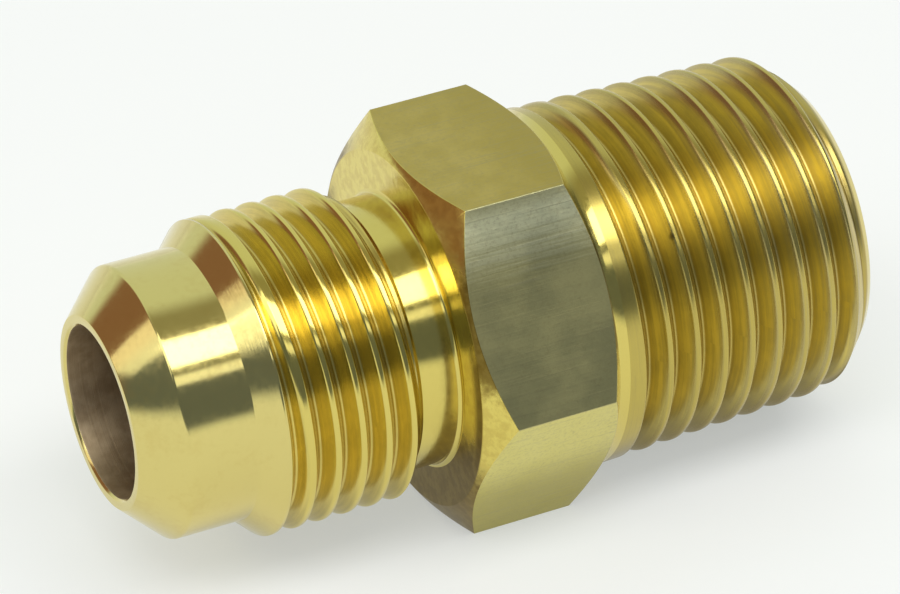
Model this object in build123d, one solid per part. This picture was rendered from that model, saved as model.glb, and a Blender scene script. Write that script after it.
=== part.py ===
from build123d import *

import os
from math import atan, cos, degrees, pi, radians, tan

# Brass half union: 45 degree flare on a 3/4-16 UNF thread, 1/2-14 taper pipe thread, 7/8 in hexagon.
# All lengths are in millimetres.  The body is turned about the Z axis with the flare mouth at z = 0,
# then laid along X: flare mouth at the origin, pipe end at +X, one hexagon flat facing -Z.
# The symmetry axis of every turned feature is the X axis of the finished part.

INCH = 25.4

# ---- driving dimensions ------------------------------------------------------------------------

overall_length = 45.7

# through bore, a 13/32 in drill
bore_radius = 13 / 32 * INCH / 2
mouth_deburr = 0.15
end_deburr = 0.30

# flare seat and nose
seat_land_radius = 5.80
nose_radius = 8.15
nose_corner_round = 0.35
nose_end = 6.45

# 3/4-16 UNF flare thread
flare_pitch = INCH / 16
flare_crest_radius = 9.45
flare_crest_flat = flare_pitch / 8
flare_thread_depth = 0.6134 * flare_pitch
flare_full_thread_start = 8.75
flare_lead_turns = 0.75
flare_thread_end = 15.75
flare_crest_at_top = 10.43

# neck between the flare thread and the hexagon
neck_start = 16.65
neck_radius = 8.13
neck_fillet = 0.30

# hexagon, 7/8 in across flats
across_flats = 7 / 8 * INCH
hex_start = 19.15
hex_end = 27.87
hex_chamfer_angle = 32.5
front_chamfer_radius = 10.78
back_chamfer_radius = 11.00

# 1/2-14 taper pipe thread, 1 in 16 on the diameter
pipe_pitch = INCH / 14
pipe_taper = 1 / 32
pipe_end_pitch_radius = 0.75843 * INCH / 2
pipe_crest_flat = 0.12
pipe_root_flat = 0.12
pipe_full_thread_start = 30.3
pipe_vanish_turns = 0.75
pipe_crest_at_top = 30.89
pipe_end_radius = 8.50

thread_half_angle = 30
cutter_overlap = 0.05
groove_lap_turns = 0.03

# ---- derived dimensions ------------------------------------------------------------------------

seat_length = nose_radius - seat_land_radius
lead_chamfer = flare_crest_radius - nose_radius
corner_radius = across_flats / 2 / cos(pi / 6)
flank_slope = tan(radians(thread_half_angle))
flare_root_radius = flare_crest_radius - flare_thread_depth
flare_root_flat = flare_pitch - flare_crest_flat - 2 * flare_thread_depth * flank_slope
pipe_crest_height = (pipe_pitch / 2 - pipe_crest_flat) / 2 / flank_slope
pipe_root_depth = (pipe_pitch / 2 - pipe_root_flat) / 2 / flank_slope
pipe_thread_depth = pipe_crest_height + pipe_root_depth
pipe_taper_angle = degrees(atan(pipe_taper))
hex_middle = (hex_start + hex_end) / 2
shoulder_radius = neck_radius + neck_fillet


def pipe_crest_radius(station):
    """Radius of the tapered thread crests at a distance from the flare mouth."""
    return pipe_end_pitch_radius + pipe_crest_height + (overall_length - station) * pipe_taper


def pipe_chamfer_start():
    """Station where the 45 degree end chamfer meets the tapered crests."""
    end_crest = pipe_crest_radius(overall_length)
    return overall_length - (end_crest - pipe_end_radius) / (1 - pipe_taper)


# ---- turned ends, before any thread is cut ------------------------------------------------------

def turned(profile_lines):
    """Solid of revolution about Z of the closed outline drawn by a function in the XZ plane."""
    with BuildPart() as solid:
        with BuildSketch(Plane.XZ):
            with BuildLine():
                profile_lines()
            make_face()
        revolve(axis=Axis.Z)
    return solid.part


def flare_outline():
    """Seat cone, rounded nose, lead chamfer, thread crests, neck and the fillet to the hexagon."""
    nose = FilletPolyline(
        (seat_land_radius, 0),
        (nose_radius, seat_length),
        (nose_radius, nose_end),
        radius=nose_corner_round,
    )
    neck = Polyline(
        nose @ 1,
        (flare_crest_radius, nose_end + lead_chamfer),
        (flare_crest_radius, flare_thread_end),
        (neck_radius, neck_start),
        (neck_radius, hex_start - neck_fillet),
    )
    shoulder = RadiusArc(neck @ 1, (shoulder_radius, hex_start), neck_fillet)
    Polyline(
        shoulder @ 1,
        (shoulder_radius, hex_middle),
        (0, hex_middle),
        (0, 0),
        (seat_land_radius, 0),
    )


def pipe_outline():
    """Plain band behind the hexagon, tapered crests and the 45 degree end chamfer."""
    chamfer_start = pipe_chamfer_start()
    Polyline(
        (0, hex_middle),
        (pipe_crest_radius(hex_middle), hex_middle),
        (pipe_crest_radius(chamfer_start), chamfer_start),
        (pipe_end_radius, overall_length),
        (0, overall_length),
        (0, hex_middle),
    )


def hexagon_collar():
    """Hexagon chamfered by a cone at both ends, two flats square to the X axis."""
    chamfer_slope = tan(radians(hex_chamfer_angle))
    reach = corner_radius + 1
    front_rise = (reach - front_chamfer_radius) * chamfer_slope
    back_rise = (reach - back_chamfer_radius) * chamfer_slope
    with BuildPart() as collar:
        with BuildSketch(Plane.XY.offset(hex_start)):
            RegularPolygon(across_flats / 2, 6, major_radius=False, rotation=30)
        extrude(amount=hex_end - hex_start)
        with BuildSketch(Plane.XZ):
            Polygon(
                (0, hex_start),
                (front_chamfer_radius, hex_start),
                (reach, hex_start + front_rise),
                (reach, hex_end - back_rise),
                (back_chamfer_radius, hex_end),
                (0, hex_end),
                align=None,
            )
        revolve(axis=Axis.Z, mode=Mode.INTERSECT)
    return collar.part


def bore_tool():
    """Through bore with a small deburring chamfer at each end."""
    past = 1.0
    with BuildPart() as bore:
        with BuildSketch(Plane.XZ):
            Polygon(
                (0, -past),
                (bore_radius + mouth_deburr + past, -past),
                (bore_radius, mouth_deburr),
                (bore_radius, overall_length - end_deburr),
                (bore_radius + end_deburr + past, overall_length + past),
                (0, overall_length + past),
                align=None,
            )
        revolve(axis=Axis.Z)
    return bore.part


# ---- thread grooves -----------------------------------------------------------------------------

def groove(start, turns, pitch, start_root, depth, root_flat, cone_angle, crest_at_top):
    """Right-hand 60 degree groove from a station towards +Z, half a pitch away from the crests.

    The root radius shrinks along the cone angle.  The cutter stands slightly proud of the crests.
    """
    height = depth + cutter_overlap
    half_root = root_flat / 2
    half_top = half_root + height * flank_slope
    with BuildSketch(Plane.XZ) as section:
        Polygon(
            (start_root, -half_root),
            (start_root + height, -half_top),
            (start_root + height, half_top),
            (start_root, half_root),
            align=None,
        )
    path = Helix(pitch, turns * pitch, start_root, cone_angle=-cone_angle)
    cutter = sweep(section.sketch, path=path, is_frenet=True)
    turn_to_start = 180 + 360 * (start - crest_at_top - pitch / 2) / pitch
    return Pos(0, 0, start) * Rot(0, 0, turn_to_start) * cutter


def deepening_groove(full_start, turns, pitch, full_root, depth, taper, root_flat, crest_at_top):
    """Groove that goes from nothing at the crests to full depth over the turns before a station."""
    length = turns * pitch
    start_root = full_root + depth + length * taper
    return groove(
        start=full_start - length,
        turns=turns,
        pitch=pitch,
        start_root=start_root,
        depth=depth,
        root_flat=root_flat,
        cone_angle=degrees(atan((start_root - full_root) / length)),
        crest_at_top=crest_at_top,
    )


def flare_lead_groove():
    """First part turn of the flare thread, between the lead chamfer and the full thread."""
    return deepening_groove(
        full_start=flare_full_thread_start,
        turns=flare_lead_turns,
        pitch=flare_pitch,
        full_root=flare_root_radius,
        depth=flare_thread_depth,
        taper=0,
        root_flat=flare_root_flat,
        crest_at_top=flare_crest_at_top,
    )


def flare_groove():
    """Parallel groove of the full flare thread, leaving into the neck."""
    start = flare_full_thread_start - groove_lap_turns * flare_pitch
    return groove(
        start=start,
        turns=(neck_start - start) / flare_pitch + 0.5,
        pitch=flare_pitch,
        start_root=flare_root_radius,
        depth=flare_thread_depth,
        root_flat=flare_root_flat,
        cone_angle=0,
        crest_at_top=flare_crest_at_top,
    )


def pipe_vanish_groove():
    """Run-out of the pipe thread: the groove dies away towards the hexagon."""
    return deepening_groove(
        full_start=pipe_full_thread_start,
        turns=pipe_vanish_turns,
        pitch=pipe_pitch,
        full_root=pipe_crest_radius(pipe_full_thread_start) - pipe_thread_depth,
        depth=pipe_thread_depth,
        taper=pipe_taper,
        root_flat=pipe_root_flat,
        crest_at_top=pipe_crest_at_top,
    )


def pipe_groove():
    """Tapered groove from the first full thread out past the pipe end."""
    start = pipe_full_thread_start - groove_lap_turns * pipe_pitch
    return groove(
        start=start,
        turns=(overall_length - start) / pipe_pitch + 1,
        pitch=pipe_pitch,
        start_root=pipe_crest_radius(start) - pipe_thread_depth,
        depth=pipe_thread_depth,
        root_flat=pipe_root_flat,
        cone_angle=pipe_taper_angle,
        crest_at_top=pipe_crest_at_top,
    )


# ---- threaded ends ------------------------------------------------------------------------------

def flare_end():
    """Flare side: a grooved bar trimmed to the turned outline."""
    bar = extrude(Circle(flare_crest_radius), hex_middle)
    return (bar - flare_groove() - flare_lead_groove()) & turned(flare_outline)


def pipe_end():
    """Pipe side: a grooved taper bar, longer than the groove, trimmed to the turned outline."""
    bar_end = overall_length + 2 * pipe_pitch
    bar = Pos(0, 0, hex_middle) * Cone(
        pipe_crest_radius(hex_middle),
        pipe_crest_radius(bar_end),
        bar_end - hex_middle,
        align=(Align.CENTER, Align.CENTER, Align.MIN),
    )
    return (bar - pipe_groove() - pipe_vanish_groove()) & turned(pipe_outline)


def adapter_body():
    """The whole fitting as one solid, laid along X with a hexagon flat facing down."""
    upright = flare_end() + hexagon_collar() + pipe_end() - bore_tool()
    return Rot(0, 90, 0) * upright


def main():
    os.makedirs("parts", exist_ok=True)
    body = adapter_body()
    body.label = "adapter_body"
    export_step(body, "parts/adapter_body.step")


main()
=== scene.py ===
from math import atan2, ceil, cos, floor, hypot, pi, radians, sin, tan

import bpy
import numpy as np
from mathutils import Matrix, Vector


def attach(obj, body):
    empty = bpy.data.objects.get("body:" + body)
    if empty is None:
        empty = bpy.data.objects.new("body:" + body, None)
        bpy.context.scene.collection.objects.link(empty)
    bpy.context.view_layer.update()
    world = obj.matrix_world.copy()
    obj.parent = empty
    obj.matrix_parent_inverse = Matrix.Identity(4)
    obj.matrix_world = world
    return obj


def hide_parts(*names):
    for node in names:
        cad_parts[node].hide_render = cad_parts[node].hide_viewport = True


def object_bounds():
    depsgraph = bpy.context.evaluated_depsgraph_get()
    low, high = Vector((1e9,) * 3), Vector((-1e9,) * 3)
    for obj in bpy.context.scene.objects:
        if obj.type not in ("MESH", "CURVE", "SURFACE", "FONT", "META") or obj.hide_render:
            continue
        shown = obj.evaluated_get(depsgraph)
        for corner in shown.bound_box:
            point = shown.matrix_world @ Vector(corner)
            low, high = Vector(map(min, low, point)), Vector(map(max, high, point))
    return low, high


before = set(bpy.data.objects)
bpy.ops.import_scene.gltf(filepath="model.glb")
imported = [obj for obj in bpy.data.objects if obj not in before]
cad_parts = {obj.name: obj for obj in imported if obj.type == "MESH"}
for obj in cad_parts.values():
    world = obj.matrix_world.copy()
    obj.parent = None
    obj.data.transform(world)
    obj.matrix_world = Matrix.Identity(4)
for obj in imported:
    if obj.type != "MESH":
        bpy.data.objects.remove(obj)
cad_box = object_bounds()

# Brass half union: 45 degree flare on a 3/4-16 UNF thread, 1/2-14 taper pipe thread, 7/8 in hexagon.
# The axis is X, the flare mouth is at x = 0 and one hexagon flat faces down.
# Shape values and positions in materials are in millimetres, and the mesh is scaled to metres when it is
# made.  Bump distances, the lights and the camera are in metres.

MM = 0.001
INCH = 25.4
NODE = "adapter_body"

# ---- size of the fitting -------------------------------------------------------------------------
# These are the CAD part's values, some of them rounded.  The thread form differs: both crest flats are
# wider here, and the pipe thread is less deep.

OVERALL_LENGTH = 45.7
BORE_RADIUS = 13 / 32 * INCH / 2
MOUTH_DEBURR = 0.15
END_DEBURR = 0.30
SEAT_LAND_RADIUS = 5.80
NOSE_RADIUS = 8.15
NOSE_ROUND = 0.35
NOSE_END = 6.45
FLARE_PITCH = INCH / 16
FLARE_CREST_RADIUS = 9.45
FLARE_CREST_FLAT = 0.28
FLARE_DEPTH = 0.98
FLARE_LEAD_START = 7.60
FLARE_LEAD_END = 8.75
FLARE_THREAD_END = 15.75
FLARE_CREST_AT_TOP = 10.43
NECK_START = 16.65
NECK_RADIUS = 8.13
NECK_FILLET = 0.30
ACROSS_FLATS = 7 / 8 * INCH
HEX_START = 19.15
HEX_END = 27.87
HEX_CHAMFER_SLOPE = tan(radians(32.5))
FRONT_CHAMFER_RADIUS = 10.78
BACK_CHAMFER_RADIUS = 11.00
PIPE_PITCH = INCH / 14
PIPE_TAPER = 1 / 32
PIPE_END_CREST_RADIUS = 10.314
PIPE_CREST_FLAT = 0.28
PIPE_DEPTH = 1.20
PIPE_VANISH_START = 28.94
PIPE_VANISH_END = 30.30
PIPE_CREST_AT_TOP = 30.89
PIPE_END_RADIUS = 8.50

# ---- how finely the mesh follows it --------------------------------------------------------------

# even columns round the axis, and extra ones in degrees from each corner of the hexagon; even columns
# nearer than CLEAR_OF_CORNER to an extra one are left out
PLAIN_COLUMNS = 240
CORNER_COLUMNS = (-1.0, -0.2, -0.07, 0.0, 0.07, 0.2, 1.0)
CLEAR_OF_CORNER = 0.4

# radii of broken edges, and the part of the shorter side beside an edge that its round may take
EDGE_ROUND = 0.08
HEX_CORNER_ROUND = 0.03
LONGEST_ROUND = 0.42

# widths over which the thread's flanks blend into its crests and roots, and the flanks' slope
CREST_ROUND = 0.12
ROOT_ROUND = 0.08
FLANK_SLOPE = tan(radians(30))

# stations between which the rows follow the thread's helix, and the part of a turn from +Y to the top
FLARE_BAND = (7.88, 16.43)
PIPE_BAND = (28.60, 45.27)
TURN_TO_TOP = 0.25

# half a pitch of rows, crest to root, close together where the profile bends
FLARE_ROWS = (0, 0.08, 0.12, 0.16, 0.21, 0.44, 0.66, 0.72, FLARE_PITCH / 2)
PIPE_ROWS = (0, 0.08, 0.12, 0.16, 0.21, 0.50, 0.78, 0.84, PIPE_PITCH / 2)

# rows nearer than this to a plain ring are merged into it
SNAP = 0.02

# longest step between rings, from the pipe end through the bore to the nose, and from neck to collar
BORE_SPACING = 3.0
HEX_SPACING = 1.2


def hexagon_radius(angles):
    """Distance from the axis to the hexagon's side at each angle, with slightly rounded corners."""
    flat = ACROSS_FLATS / 2
    half_side = pi / 6
    from_flat = (angles - pi / 2 + half_side) % (2 * half_side) - half_side
    to_corner = half_side - np.abs(from_flat)
    sharp = flat / np.cos(from_flat)
    round_centre = (flat - HEX_CORNER_ROUND) / cos(half_side)
    off = round_centre * np.sin(to_corner)
    arc = round_centre * np.cos(to_corner) + np.sqrt(np.maximum(HEX_CORNER_ROUND**2 - off**2, 0))
    tangent_across = HEX_CORNER_ROUND * sin(half_side)
    tangent_out = round_centre + HEX_CORNER_ROUND * cos(half_side)
    return np.where(to_corner < atan2(tangent_across, tangent_out), arc, sharp)


def column_angles():
    """Angles of the mesh columns, even all round, with extra ones at the hexagon's corners."""
    even = np.arange(PLAIN_COLUMNS) * 360 / PLAIN_COLUMNS
    corners = np.array([60 * k + extra for k in range(6) for extra in CORNER_COLUMNS]) % 360
    gap = np.abs((even[:, None] - corners[None, :] + 180) % 360 - 180).min(axis=1)
    kept = even[gap > CLEAR_OF_CORNER]
    return np.radians(np.sort(np.concatenate([kept, corners])))


ANGLES = column_angles()
COLUMNS = len(ANGLES)
HEX_RADIUS = hexagon_radius(ANGLES)


# ---- mesh builder: rows of vertices round the axis, joined into one closed skin ------------------

class Skin:
    """Rows of vertex numbers. Each row has one number more than there are columns, for the seam."""

    def __init__(self):
        self.points = []
        self.count = 0
        self.rows = []

    def add(self, x, r):
        """Vertices at stations x and radii r, one for each column; returns their numbers."""
        x = np.broadcast_to(x, COLUMNS)
        r = np.broadcast_to(r, COLUMNS)
        self.points.append(np.stack([x, r * np.cos(ANGLES), r * np.sin(ANGLES)], axis=1))
        ids = np.arange(self.count, self.count + COLUMNS)
        self.count += COLUMNS
        return ids

    def ring(self, x, r):
        """A row that closes on itself."""
        ids = self.add(x, r)
        self.rows.append(np.append(ids, ids[0]))

    def faces(self):
        """Faces between neighbouring rows; the last row joins the first."""
        found = []
        for lower, upper in zip(self.rows, self.rows[1:] + self.rows[:1]):
            quads = np.stack([lower[:-1], lower[1:], upper[1:], upper[:-1]], axis=1)
            for quad in quads.tolist():
                corners = list(dict.fromkeys(quad))
                if len(corners) > 2:
                    found.append(corners)
        return found


def spread(value):
    """A number or an array as one value for each column."""
    return np.broadcast_to(np.asarray(value, float), COLUMNS)


def outline(skin, corners, spacing):
    """Rings along a profile of (x, r, edge radius, arc steps) corners; both ends are left sharp."""
    pts = [np.stack([spread(x), spread(r)]) for x, r, _, _ in corners]
    last = pts[0]
    skin.ring(*last)
    for k in range(1, len(corners)):
        radius, steps = corners[k][2], corners[k][3]
        arc = corner_arc(pts[k - 1], pts[k], pts[min(k + 1, len(pts) - 1)], radius, steps)
        reach = np.hypot(*(arc[0] - last)).max()
        fill = int(reach // spacing)
        for step in range(1, fill + 1):
            skin.ring(*(last + (arc[0] - last) * step / (fill + 1)))
        for point in arc:
            skin.ring(*point)
        last = arc[-1]


def corner_arc(before, corner, after, radius, steps):
    """Points of the round that replaces a profile corner, from tangent to tangent."""
    if steps == 0:
        return [corner]
    back = before - corner
    ahead = after - corner
    back_length = np.hypot(*back)
    ahead_length = np.hypot(*ahead)
    back = back / back_length
    ahead = ahead / ahead_length
    half_inside = np.arccos(np.clip((back * ahead).sum(axis=0), -1, 1)) / 2
    longest = LONGEST_ROUND * np.minimum(back_length, ahead_length)
    reach = np.minimum(radius / np.tan(half_inside), longest)
    weight = np.sin(half_inside)
    start = corner + back * reach
    end = corner + ahead * reach
    arc = []
    for step in range(steps + 1):
        t = step / steps
        a, b, c = (1 - t) ** 2, 2 * weight * t * (1 - t), t * t
        arc.append((a * start + b * corner + c * end) / (a + b + c))
    return arc


def soft_min(a, b, width):
    """The smaller of two radii, blended over a narrow width so that their edge is broken."""
    near = np.maximum(width - np.abs(a - b), 0) / width
    return np.minimum(a, b) - near * near * width / 4


def thread_drop(across, crest_flat, depth, cut):
    """How far the thread surface lies below its crest; cut from 0 to 1 is how deep the tool went."""
    def smoothed(distance):
        flank = (distance - crest_flat / 2) / FLANK_SLOPE
        full = soft_min(flank, depth, ROOT_ROUND)
        return -soft_min((1 - cut) * (depth + CREST_ROUND) - full, 0.0, CREST_ROUND)
    return smoothed(np.abs(across)) - smoothed(np.zeros(COLUMNS))


def mirrored(half_rows, pitch):
    """Row offsets over one pitch from those over half of it, crest to root."""
    return list(half_rows) + [pitch - offset for offset in reversed(half_rows[1:-1])]


def helical_band(skin, stations, pitch, crest_at_top, half_rows, radius_at):
    """Rows that follow the thread's helix between two stations, joined to a plain ring at each.

    half_rows are the rows' distances from a crest over half a pitch.
    radius_at(x, across) gives the surface, across being the distance from the row's own crest.
    """
    start, end = stations
    crest_at_zero = crest_at_top - pitch * TURN_TO_TOP
    offsets = mirrored(half_rows, pitch)
    per_turn = len(offsets)
    first_turn = floor((start - crest_at_zero) / pitch) - 1
    turns = ceil((end - crest_at_zero) / pitch) - first_turn
    start_ids = skin.rows[-1][:-1]
    end_ids = skin.add(end, radius_at(spread(end), spread(pitch / 2)))
    band = []
    for turn in range(turns):
        for offset in offsets:
            across = offset - pitch if offset > pitch / 2 else offset
            x = crest_at_zero + pitch * (first_turn + turn + ANGLES / (2 * pi)) + offset
            ids = skin.add(x, radius_at(x, spread(across)))
            ids = np.where(x < start + SNAP, start_ids, ids)
            band.append(np.where(x > end - SNAP, end_ids, ids))
    for number, ids in enumerate(band):
        past = number + per_turn
        seam = band[past][0] if past < len(band) else end_ids[0]
        skin.rows.append(np.append(ids, seam))
    skin.rows.append(np.append(end_ids, end_ids[0]))


def smooth_step(value, low, high):
    """From 0 to 1 between two limits, level at both."""
    t = np.clip((value - low) / (high - low), 0, 1)
    return t * t * (3 - 2 * t)


def groove_station(x, across, pitch):
    """Station of the middle of the groove that a surface point belongs to."""
    side = np.where(across < 0, -1, 1)
    return x - across + side * pitch / 2


def flare_radius(x, across):
    """3/4-16 UNF thread: fades in behind the lead chamfer and runs out down a cone to the neck."""
    cut = smooth_step(groove_station(x, across, FLARE_PITCH), FLARE_LEAD_START, FLARE_LEAD_END)
    thread = FLARE_CREST_RADIUS - thread_drop(across, FLARE_CREST_FLAT, FLARE_DEPTH, cut)
    slope = (FLARE_CREST_RADIUS - NECK_RADIUS) / (NECK_START - FLARE_THREAD_END)
    runout = FLARE_CREST_RADIUS - (x - FLARE_THREAD_END) * slope
    return soft_min(thread, runout, EDGE_ROUND)


def pipe_crest_radius(x):
    """Radius of the tapered crests at a station."""
    return PIPE_END_CREST_RADIUS + (OVERALL_LENGTH - x) * PIPE_TAPER


def pipe_radius(x, across):
    """Taper pipe thread: dies away towards the hexagon and is cut by the end chamfer."""
    station = groove_station(x, across, PIPE_PITCH)
    cut = np.clip((station - PIPE_VANISH_START) / (PIPE_VANISH_END - PIPE_VANISH_START), 0, 1)
    thread = pipe_crest_radius(x) - thread_drop(across, PIPE_CREST_FLAT, PIPE_DEPTH, cut)
    chamfer = PIPE_END_RADIUS + OVERALL_LENGTH - x
    return soft_min(thread, chamfer, EDGE_ROUND)


def build_skin():
    """All rows in turn: pipe end, bore, seat, nose, flare thread, neck, hexagon, collar, pipe thread."""
    skin = Skin()
    front_rise = (HEX_RADIUS - FRONT_CHAMFER_RADIUS) * HEX_CHAMFER_SLOPE
    back_rise = (HEX_RADIUS - BACK_CHAMFER_RADIUS) * HEX_CHAMFER_SLOPE

    past_pipe = PIPE_BAND[1] + SNAP
    outline(skin, [
        (past_pipe, PIPE_END_RADIUS + OVERALL_LENGTH - past_pipe, 0, 0),
        (OVERALL_LENGTH, PIPE_END_RADIUS, EDGE_ROUND, 3),
        (OVERALL_LENGTH, BORE_RADIUS + END_DEBURR, EDGE_ROUND, 3),
        (OVERALL_LENGTH - END_DEBURR, BORE_RADIUS, EDGE_ROUND, 2),
        (MOUTH_DEBURR, BORE_RADIUS, EDGE_ROUND / 2, 2),
        (0, BORE_RADIUS + MOUTH_DEBURR, EDGE_ROUND / 2, 2),
        (0, SEAT_LAND_RADIUS, EDGE_ROUND, 3),
        (NOSE_RADIUS - SEAT_LAND_RADIUS, NOSE_RADIUS, NOSE_ROUND, 8),
        (NOSE_END, NOSE_RADIUS, EDGE_ROUND, 3),
        (NOSE_END + FLARE_CREST_RADIUS - NOSE_RADIUS, FLARE_CREST_RADIUS, EDGE_ROUND, 3),
        (FLARE_BAND[0], FLARE_CREST_RADIUS, 0, 0),
    ], BORE_SPACING)

    helical_band(skin, FLARE_BAND, FLARE_PITCH, FLARE_CREST_AT_TOP, FLARE_ROWS, flare_radius)

    past_flare = FLARE_BAND[1] + SNAP
    outline(skin, [
        (past_flare, flare_radius(spread(past_flare), spread(FLARE_PITCH / 2)), 0, 0),
        (NECK_START, NECK_RADIUS, EDGE_ROUND, 3),
        (HEX_START, NECK_RADIUS, NECK_FILLET, 8),
        (HEX_START, FRONT_CHAMFER_RADIUS, EDGE_ROUND, 3),
        (HEX_START + front_rise, HEX_RADIUS, EDGE_ROUND, 3),
        (HEX_END - back_rise, HEX_RADIUS, EDGE_ROUND, 3),
        (HEX_END, BACK_CHAMFER_RADIUS, EDGE_ROUND, 3),
        (HEX_END, pipe_crest_radius(HEX_END), EDGE_ROUND, 2),
        (PIPE_BAND[0], pipe_crest_radius(PIPE_BAND[0]), 0, 0),
    ], HEX_SPACING)

    helical_band(skin, PIPE_BAND, PIPE_PITCH, PIPE_CREST_AT_TOP, PIPE_ROWS, pipe_radius)
    return skin


def make_body():
    """The fitting as one closed mesh."""
    skin = build_skin()
    points = np.concatenate(skin.points) * MM
    faces = skin.faces()
    used = sorted({number for face in faces for number in face})
    renumber = {old: new for new, old in enumerate(used)}
    mesh = bpy.data.meshes.new("fitting_body")
    mesh.from_pydata(points[used].tolist(), [], [[renumber[n] for n in face] for face in faces])
    mesh.update()
    mesh.shade_smooth()
    body = bpy.data.objects.new("fitting_body", mesh)
    bpy.context.scene.collection.objects.link(body)
    normals = body.modifiers.new("normals", "WEIGHTED_NORMAL")
    normals.mode = "FACE_AREA"
    return body


body = make_body()


# ---- materials -----------------------------------------------------------------------------------

# middle of the small dark pit at the edge of a pipe thread crest
PIT = (32.5, -8.22, 6.89)


class Graph:
    """A few short ways to add and link nodes in one material or world."""

    def __init__(self, tree):
        self.tree = tree

    def node(self, kind, **settings):
        made = self.tree.nodes.new(kind)
        for name, value in settings.items():
            setattr(made, name, value)
        return made

    def feed(self, socket, value):
        """Links an output to a socket, or sets a plain value on it."""
        if isinstance(value, bpy.types.NodeSocket):
            self.tree.links.new(value, socket)
        else:
            socket.default_value = value

    def math(self, operation, a, b=0.0):
        made = self.node("ShaderNodeMath", operation=operation)
        self.feed(made.inputs[0], a)
        self.feed(made.inputs[1], b)
        return made.outputs[0]

    def times(self, a, b):
        return self.math("MULTIPLY", a, b)

    def plus(self, a, b):
        return self.math("ADD", a, b)

    def minus(self, a, b):
        return self.math("SUBTRACT", a, b)

    def larger(self, a, b):
        return self.math("MAXIMUM", a, b)

    def from_axis(self, y, z):
        """Distance of a point from the X axis."""
        return self.math("SQRT", self.plus(self.times(y, y), self.times(z, z)))

    def ramp(self, value, low, high, to_low=0.0, to_high=1.0):
        """Smooth step of a value between two limits."""
        made = self.node("ShaderNodeMapRange", interpolation_type="SMOOTHSTEP")
        for socket, given in zip(made.inputs, (value, low, high, to_low, to_high)):
            self.feed(socket, given)
        return made.outputs[0]

    def mix(self, factor, a, b):
        made = self.node("ShaderNodeMix", data_type="RGBA")
        self.feed(made.inputs[0], factor)
        self.feed(made.inputs[6], a)
        self.feed(made.inputs[7], b)
        return made.outputs[2]

    def noise(self, vector, scale, detail, roughness):
        made = self.node("ShaderNodeTexNoise")
        self.feed(made.inputs["Vector"], vector)
        self.feed(made.inputs["Scale"], scale)
        self.feed(made.inputs["Detail"], detail)
        self.feed(made.inputs["Roughness"], roughness)
        return made.outputs["Fac"]

    def combine(self, x, y, z):
        made = self.node("ShaderNodeCombineXYZ")
        for socket, given in zip(made.inputs, (x, y, z)):
            self.feed(socket, given)
        return made.outputs[0]

    def bump(self, height, distance, normal=None):
        made = self.node("ShaderNodeBump")
        self.feed(made.inputs["Height"], height)
        self.feed(made.inputs["Distance"], distance)
        if normal is not None:
            self.feed(made.inputs["Normal"], normal)
        return made.outputs[0]

    def position(self):
        """Object position in millimetres: vector, then x, y and z."""
        place = self.node("ShaderNodeTexCoord").outputs["Object"]
        scaled = self.node("ShaderNodeVectorMath", operation="SCALE")
        self.feed(scaled.inputs[0], place)
        scaled.inputs["Scale"].default_value = 1 / MM
        parts = self.node("ShaderNodeSeparateXYZ")
        self.feed(parts.inputs[0], scaled.outputs[0])
        return scaled.outputs[0], parts.outputs[0], parts.outputs[1], parts.outputs[2]


def rgb(r, g, b):
    return (r, g, b, 1.0)


def new_material(name):
    material = bpy.data.materials.new(name)
    material.use_nodes = True
    shader = material.node_tree.nodes["Principled BSDF"]
    shader.inputs["Metallic"].default_value = 1.0
    return material, Graph(material.node_tree), shader


def turned_brass():
    """Bright machined brass: fine turning marks and faint tarnish, more golden past the nose."""
    material, graph, shader = new_material("turned_brass")
    place, x, y, z = graph.position()
    radius = graph.from_axis(y, z)
    marks = graph.noise(graph.combine(graph.times(x, 9), graph.times(radius, 9), 0.0), 1.0, 3.0, 0.6)
    cloud = graph.noise(place, 0.45, 4.0, 0.6)
    fine = graph.noise(place, 2.6, 5.0, 0.6)
    tarnish = graph.ramp(graph.plus(graph.times(cloud, 0.6), graph.times(fine, 0.4)), 0.48, 0.66)
    colour = graph.mix(tarnish, rgb(0.68, 0.575, 0.205), rgb(0.655, 0.54, 0.185))
    colour = graph.mix(graph.ramp(x, 8.0, 15.0), colour, rgb(0.68, 0.56, 0.15))
    graph.feed(shader.inputs["Base Color"], colour)
    graph.feed(shader.inputs["Roughness"], graph.ramp(fine, 0.3, 0.7, 0.10, 0.16))
    graph.feed(shader.inputs["Normal"], graph.bump(marks, 0.0000012))
    return material


def depth_below_crest(graph, x, radius, on_flare):
    """How far a point lies below the crests of its own thread, parallel or tapered."""
    pipe_rise = graph.times(graph.minus(OVERALL_LENGTH, x), PIPE_TAPER)
    pipe_crest = graph.plus(pipe_rise, PIPE_END_CREST_RADIUS)
    to_flare = graph.minus(FLARE_CREST_RADIUS, pipe_crest)
    return graph.minus(graph.plus(pipe_crest, graph.times(on_flare, to_flare)), radius)


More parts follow.
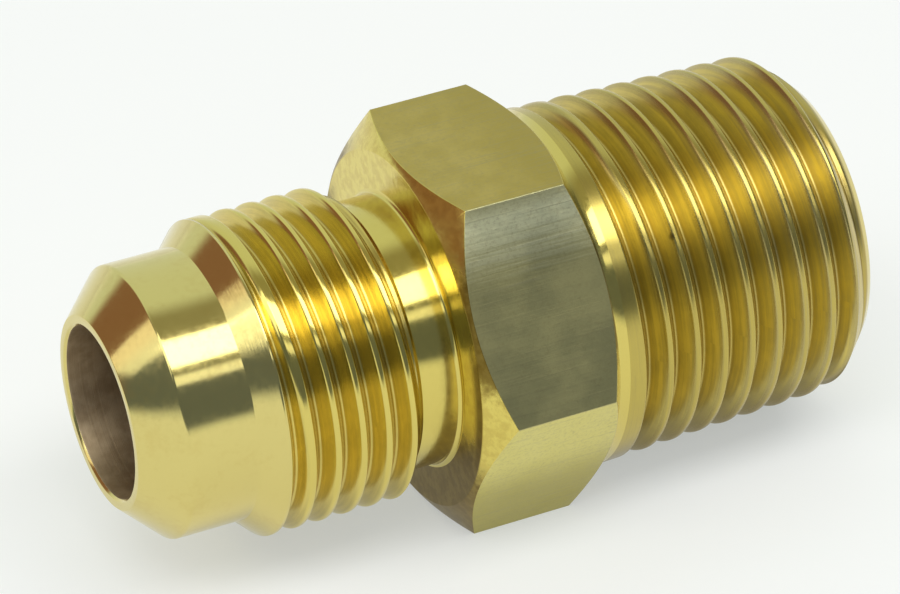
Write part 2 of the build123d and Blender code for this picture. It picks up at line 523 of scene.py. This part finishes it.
def threaded_brass():
    """Cut threads: amber flanks, brown roots (grime and painted shade), streaks along the helix, painted
    shade below.

    The pipe thread is duller than the flare thread, with residue on it and one small pit.
    """
    material, graph, shader = new_material("threaded_brass")
    place, x, y, z = graph.position()
    on_flare = graph.math("LESS_THAN", x, HEX_START)
    on_pipe = graph.minus(1.0, on_flare)
    depth = depth_below_crest(graph, x, graph.from_axis(y, z), on_flare)
    below_top = graph.ramp(depth, 0.02, 0.2)

    around = graph.math("ARCTAN2", z, y)
    helix = graph.minus(x, graph.times(around, PIPE_PITCH / (2 * pi)))
    streak = graph.noise(graph.combine(graph.times(helix, 7), around, 0.0), 1.0, 4.0, 0.65)
    cloud = graph.noise(place, 0.7, 4.0, 0.6)
    dull = graph.plus(graph.times(streak, 0.75), graph.times(cloud, 0.25))

    flank = graph.mix(on_flare, rgb(0.68, 0.545, 0.14), rgb(0.71, 0.56, 0.145))
    top = graph.mix(on_flare, rgb(0.54, 0.43, 0.105), rgb(0.68, 0.56, 0.15))
    colour = graph.mix(graph.ramp(depth, 0.02, 0.45), top, flank)
    # roots turn brown with depth: some grime, and painted shade deep in the grooves
    colour = graph.mix(graph.ramp(depth, 0.7, 1.3), colour, rgb(0.50, 0.385, 0.10))
    worn = graph.times(graph.ramp(dull, 0.40, 0.60, 0.0, 0.45), below_top)
    colour = graph.mix(worn, colour, rgb(0.44, 0.35, 0.10))
    # painted shade: the grooves darken towards the underside
    underside_shade = graph.times(graph.ramp(z, -2.5, -7.5, 0.0, 0.4), below_top)
    colour = graph.mix(underside_shade, colour, rgb(0.33, 0.26, 0.055))

    patch = graph.ramp(dull, 0.42, 0.66, 0.04, 0.34)
    # painted shade: the pipe thread gets darker low down, towards the floor (mixed in below)
    low = graph.ramp(z, -4.0, -8.0, 0.0, 0.8)
    shoulder = graph.times(graph.ramp(depth, 0.01, 0.06, 0.0, 0.45), graph.ramp(depth, 0.40, 0.15))
    residue = graph.times(graph.larger(patch, shoulder), on_pipe)
    film = graph.mix(graph.ramp(x, 34.0, 41.0), rgb(0.35, 0.285, 0.105), rgb(0.40, 0.35, 0.22))
    colour = graph.mix(residue, colour, film)
    # painted shade low on the pipe thread
    colour = graph.mix(graph.times(low, on_pipe), colour, rgb(0.27, 0.20, 0.05))

    pit = graph.node("ShaderNodeVectorMath", operation="DISTANCE")
    graph.feed(pit.inputs[0], place)
    pit.inputs[1].default_value = PIT
    colour = graph.mix(graph.ramp(pit.outputs["Value"], 0.42, 0.25), colour, rgb(0.12, 0.09, 0.04))

    graph.feed(shader.inputs["Base Color"], colour)
    rough = graph.plus(graph.ramp(depth, 0.02, 0.4, 0.13, 0.21), graph.times(on_pipe, 0.10))
    graph.feed(shader.inputs["Roughness"], rough)
    graph.feed(shader.inputs["Normal"], graph.bump(streak, 0.000005))
    return material


def drawn_brass():
    """The bar's own drawn skin on the hexagon: duller, mottled, with faint draw lines along the axis.

    One side carries a grey film, rubbed bright again beside its upper corner; painted shadow darkens the
    lower sides.
    """
    material, graph, shader = new_material("drawn_brass")
    place, x, y, z = graph.position()
    stretched = graph.combine(graph.times(x, 0.15), graph.times(y, 6), graph.times(z, 6))
    lines = graph.noise(stretched, 1.0, 3.0, 0.65)
    grain = graph.noise(place, 5.0, 4.0, 0.7)
    cloud = graph.noise(place, 0.35, 4.0, 0.6)
    outward = graph.minus(graph.times(z, 0.5), graph.times(y, cos(pi / 6)))
    film = graph.ramp(outward, ACROSS_FLATS / 2 - 0.06, ACROSS_FLATS / 2 - 0.01)
    rubbed = graph.ramp(graph.plus(z, graph.times(lines, 4.0)), 9.0, 12.5)
    rubbed = graph.times(rubbed, graph.ramp(z, 11.1, 10.2, 0.35, 1.0))

    colour = graph.mix(graph.ramp(cloud, 0.35, 0.65), rgb(0.46, 0.35, 0.08), rgb(0.53, 0.41, 0.11))
    toward_pipe = graph.ramp(x, HEX_START + 2, HEX_END, 0.0, 0.6)
    colour = graph.mix(toward_pipe, colour, rgb(0.36, 0.27, 0.04))
    # painted shadow: the lower sides darken towards the floor they rest on
    lower = graph.mix(graph.ramp(z, -8.0, -3.2), rgb(0.44, 0.385, 0.09), rgb(0.68, 0.61, 0.18))
    colour = graph.mix(graph.ramp(z, 0.5, -0.2), colour, lower)
    colour = graph.mix(film, colour, rgb(0.435, 0.40, 0.18))
    colour = graph.mix(graph.times(film, rubbed), colour, rgb(0.85, 0.83, 0.50))
    colour = graph.mix(graph.ramp(grain, 0.45, 0.72, 0.0, 0.35), colour, rgb(0.34, 0.28, 0.12))
    colour = graph.mix(graph.ramp(lines, 0.52, 0.75, 0.0, 0.4), colour, rgb(0.34, 0.30, 0.15))

    graph.feed(shader.inputs["Base Color"], colour)
    graph.feed(shader.inputs["Roughness"], graph.ramp(cloud, 0.3, 0.7, 0.30, 0.38))
    grained = graph.bump(grain, 0.000003)
    graph.feed(shader.inputs["Normal"], graph.bump(lines, 0.000008, normal=grained))
    return material


def grime_and_shade_brass():
    """Ends of the hexagon: turned, brown grime across the front chamfer's middle, brown painted shade low
    on face and chamfer.
    """
    material, graph, shader = new_material("grime_and_shade_brass")
    place, _, y, z = graph.position()
    radius = graph.from_axis(y, z)
    mottle = graph.noise(place, 1.6, 4.0, 0.6)
    height = graph.plus(z, graph.times(mottle, 3.0))
    chamfer = graph.ramp(radius, FRONT_CHAMFER_RADIUS - 0.1, FRONT_CHAMFER_RADIUS + 0.1)

    # grime across the middle of the front chamfer; lower down, on the chamfer and the face, brown painted
    # shade where the neck and the floor shade them
    corner = graph.times(graph.ramp(height, 2.5, 4.5), graph.ramp(height, 11.0, 8.5))
    corner = graph.times(graph.larger(corner, graph.ramp(height, -1.5, -4.5)), chamfer)
    rim = graph.times(graph.ramp(height, 7.0, 4.0), graph.ramp(radius, 9.4, 10.4))
    face = graph.larger(rim, graph.ramp(height, 0.5, -2.5))
    grime_and_shade_mask = graph.plus(corner, graph.times(face, graph.minus(1.0, chamfer)))

    brown = graph.mix(graph.ramp(mottle, 0.35, 0.65), rgb(0.18, 0.12, 0.022), rgb(0.24, 0.17, 0.038))
    clean = graph.mix(graph.ramp(mottle, 0.38, 0.62), rgb(0.72, 0.60, 0.15), rgb(0.63, 0.50, 0.12))
    graph.feed(shader.inputs["Base Color"], graph.mix(grime_and_shade_mask, clean, brown))
    graph.feed(shader.inputs["Roughness"], graph.plus(graph.times(grime_and_shade_mask, 0.2), 0.16))
    graph.feed(shader.inputs["Normal"], graph.bump(mottle, 0.00001))
    return material


def drilled_brass():
    """Dull drilled wall of the bore, its colour also darkened as painted shade inside the bore."""
    material, graph, shader = new_material("drilled_brass")
    place, x, _, _ = graph.position()
    rings = graph.noise(graph.combine(graph.times(x, 6), 0.0, 0.0), 1.0, 3.0, 0.7)
    patch = graph.noise(place, 0.8, 4.0, 0.6)
    # dark brown: partly the drilled finish, partly painted shade inside the bore
    colour = graph.mix(graph.ramp(patch, 0.35, 0.65), rgb(0.42, 0.32, 0.20), rgb(0.54, 0.43, 0.28))
    graph.feed(shader.inputs["Base Color"], colour)
    graph.feed(shader.inputs["Roughness"], graph.ramp(rings, 0.3, 0.7, 0.42, 0.55))
    graph.feed(shader.inputs["Normal"], graph.bump(rings, 0.00001))
    return material


def paint_faces(mesh):
    """Gives the hexagon's sides and ends, the bore and the threads their own finishes."""
    finishes = (turned_brass(), drawn_brass(), drilled_brass(), threaded_brass(), grime_and_shade_brass())
    for finish in finishes:
        mesh.materials.append(finish)
    turned, drawn, drilled, threaded, grime_and_shade = range(len(finishes))

    # slack for face centres at a zone's edge, and the lean towards X from which a face is on a hexagon end
    slack = 0.01
    end_lean = 0.3
    for face in mesh.polygons:
        x, y, z = face.center / MM
        radius = hypot(y, z)
        on_side = radius > ACROSS_FLATS / 2 - 2 * slack and abs(face.normal.x) < end_lean
        if radius < BORE_RADIUS + slack:
            face.material_index = drilled
        elif HEX_START < x < HEX_END and on_side:
            face.material_index = drawn
        elif HEX_START - slack < x < HEX_END + slack and radius > NECK_RADIUS + NECK_FILLET:
            face.material_index = grime_and_shade
        elif FLARE_BAND[0] < x < NECK_START or PIPE_BAND[0] < x < PIPE_BAND[1]:
            face.material_index = threaded
        else:
            face.material_index = turned


paint_faces(body.data)
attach(body, "root")
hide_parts(NODE)


# ---- studio --------------------------------------------------------------------------------------

FLOOR_Z = cad_box[0][2]


def make_floor():
    """A plain pale sheet that also glows a little, which keeps the shadow faint."""
    half_side = 1.5
    mesh = bpy.data.meshes.new("floor")
    signs = ((-1, -1), (1, -1), (1, 1), (-1, 1))
    corners = [(x * half_side, y * half_side, FLOOR_Z) for x, y in signs]
    mesh.from_pydata(corners, [], [(0, 1, 2, 3)])
    floor = bpy.data.objects.new("floor", mesh)
    bpy.context.scene.collection.objects.link(floor)
    material = bpy.data.materials.new("floor_white")
    material.use_nodes = True
    shader = material.node_tree.nodes["Principled BSDF"]
    shader.inputs["Base Color"].default_value = rgb(0.50, 0.50, 0.50)
    shader.inputs["Roughness"].default_value = 1.0
    shader.inputs["Specular IOR Level"].default_value = 0.0
    shader.inputs["Emission Color"].default_value = rgb(0.96, 1.0, 0.98)
    shader.inputs["Emission Strength"].default_value = 0.45
    mesh.materials.append(material)


def make_world():
    """A dim room: warm ceiling, white from below, a pale wall behind the fitting, brown to its left."""
    world = bpy.data.worlds.new("studio")
    world.use_nodes = True
    bpy.context.scene.world = world
    graph = Graph(world.node_tree)
    direction = graph.node("ShaderNodeTexCoord").outputs["Generated"]

    def towards(x, y, z):
        """Cosine of the angle to a direction."""
        made = graph.node("ShaderNodeVectorMath", operation="DOT_PRODUCT")
        graph.feed(made.inputs[0], direction)
        made.inputs[1].default_value = Vector((x, y, z)).normalized()
        return made.outputs["Value"]

    room = rgb(0.16, 0.185, 0.23)
    ceiling = graph.ramp(towards(0, 0, 1), 0.58, 0.82)
    brown = graph.ramp(towards(-0.71, 0.56, 0.42), 0.86, 0.94)
    brown_end = graph.ramp(towards(-0.97, 0.20, 0.08), 0.955, 0.99)
    brown = graph.larger(brown, brown_end)
    wall = graph.ramp(towards(0, 1, 0), 0.10, 0.38)
    low = graph.ramp(towards(0, 0, 1), 0.10, -0.02)
    colour = graph.mix(ceiling, room, rgb(0.36, 0.35, 0.26))
    colour = graph.mix(wall, colour, rgb(0.78, 0.86, 0.82))
    colour = graph.mix(brown, colour, rgb(0.30, 0.165, 0.13))
    colour = graph.mix(low, colour, rgb(0.95, 1.0, 1.0))
    background = world.node_tree.nodes["Background"]
    graph.feed(background.inputs["Color"], colour)
    background.inputs["Strength"].default_value = 1.0


def soft_box(name, direction, distance, width, height, brightness, shift=0.0):
    """A rectangular light of even brightness that faces the fitting, shifted along X.

    Its width runs along X, or along Y for a light placed near the X axis.
    """
    near_x_axis = 0.6
    light = bpy.data.lights.new(name, "AREA")
    light.shape = "RECTANGLE"
    light.size = width
    light.size_y = height
    light.energy = brightness * pi * width * height
    lamp = bpy.data.objects.new(name, light)
    bpy.context.scene.collection.objects.link(lamp)
    back = Vector(direction).normalized()
    across = Vector((1, 0, 0)) - back * back.x
    if across.length < near_x_axis:
        across = Vector((0, 1, 0)) - back * back.y
    across.normalize()
    up = back.cross(across)
    lamp.matrix_world = Matrix((
        (across.x, up.x, back.x, back.x * distance + shift),
        (across.y, up.y, back.y, back.y * distance),
        (across.z, up.z, back.z, back.z * distance),
        (0, 0, 0, 1),
    ))


def strip_direction(angle):
    """Direction at an angle round the X axis, from +Y towards +Z."""
    return (0, cos(radians(angle)), sin(radians(angle)))


make_floor()
make_world()
soft_box(
    "overhead_box", strip_direction(115.0),
    distance=0.9, width=1.3, height=0.38, brightness=3.6, shift=0.15,
)
soft_box(
    "lower_strip", strip_direction(137.5),
    distance=0.9, width=1.3, height=0.12, brightness=1.2, shift=0.15,
)
soft_box(
    "left_wing", (-0.66, -0.20, 0.72),
    distance=0.95, width=0.75, height=0.40, brightness=1.7,
)
soft_box(
    "left_box", (-0.868, 0.18, 0.48),
    distance=0.9, width=0.32, height=0.30, brightness=1.0,
)


# ---- camera --------------------------------------------------------------------------------------

# angles in degrees, lens in millimetres
CAMERA_AZIMUTH = -24.65
CAMERA_ELEVATION = 32.49
CAMERA_ROLL = -1.75
CAMERA_DISTANCE = 0.3114
CAMERA_TARGET = Vector((0.02261, 0.00066, 0.00075))
CAMERA_LENS = 212.2
CAMERA_SENSOR = 36


def make_camera():
    """Camera that looks at its target from an azimuth and elevation, slightly rolled."""
    data = bpy.data.cameras.new("camera")
    data.lens = CAMERA_LENS
    data.sensor_width = CAMERA_SENSOR
    data.clip_start = 0.01
    camera = bpy.data.objects.new("camera", data)
    bpy.context.scene.collection.objects.link(camera)
    turn = Matrix.Rotation(radians(CAMERA_AZIMUTH), 4, "Z")
    tilt = Matrix.Rotation(radians(90 - CAMERA_ELEVATION), 4, "X")
    roll = Matrix.Rotation(radians(CAMERA_ROLL), 4, "Z")
    pose = turn @ tilt @ roll
    back = pose.to_3x3() @ Vector((0, 0, 1))
    camera.matrix_world = Matrix.Translation(CAMERA_TARGET + back * CAMERA_DISTANCE) @ pose
    bpy.context.scene.camera = camera


make_camera()
bpy.context.scene.view_settings.view_transform = "Standard"
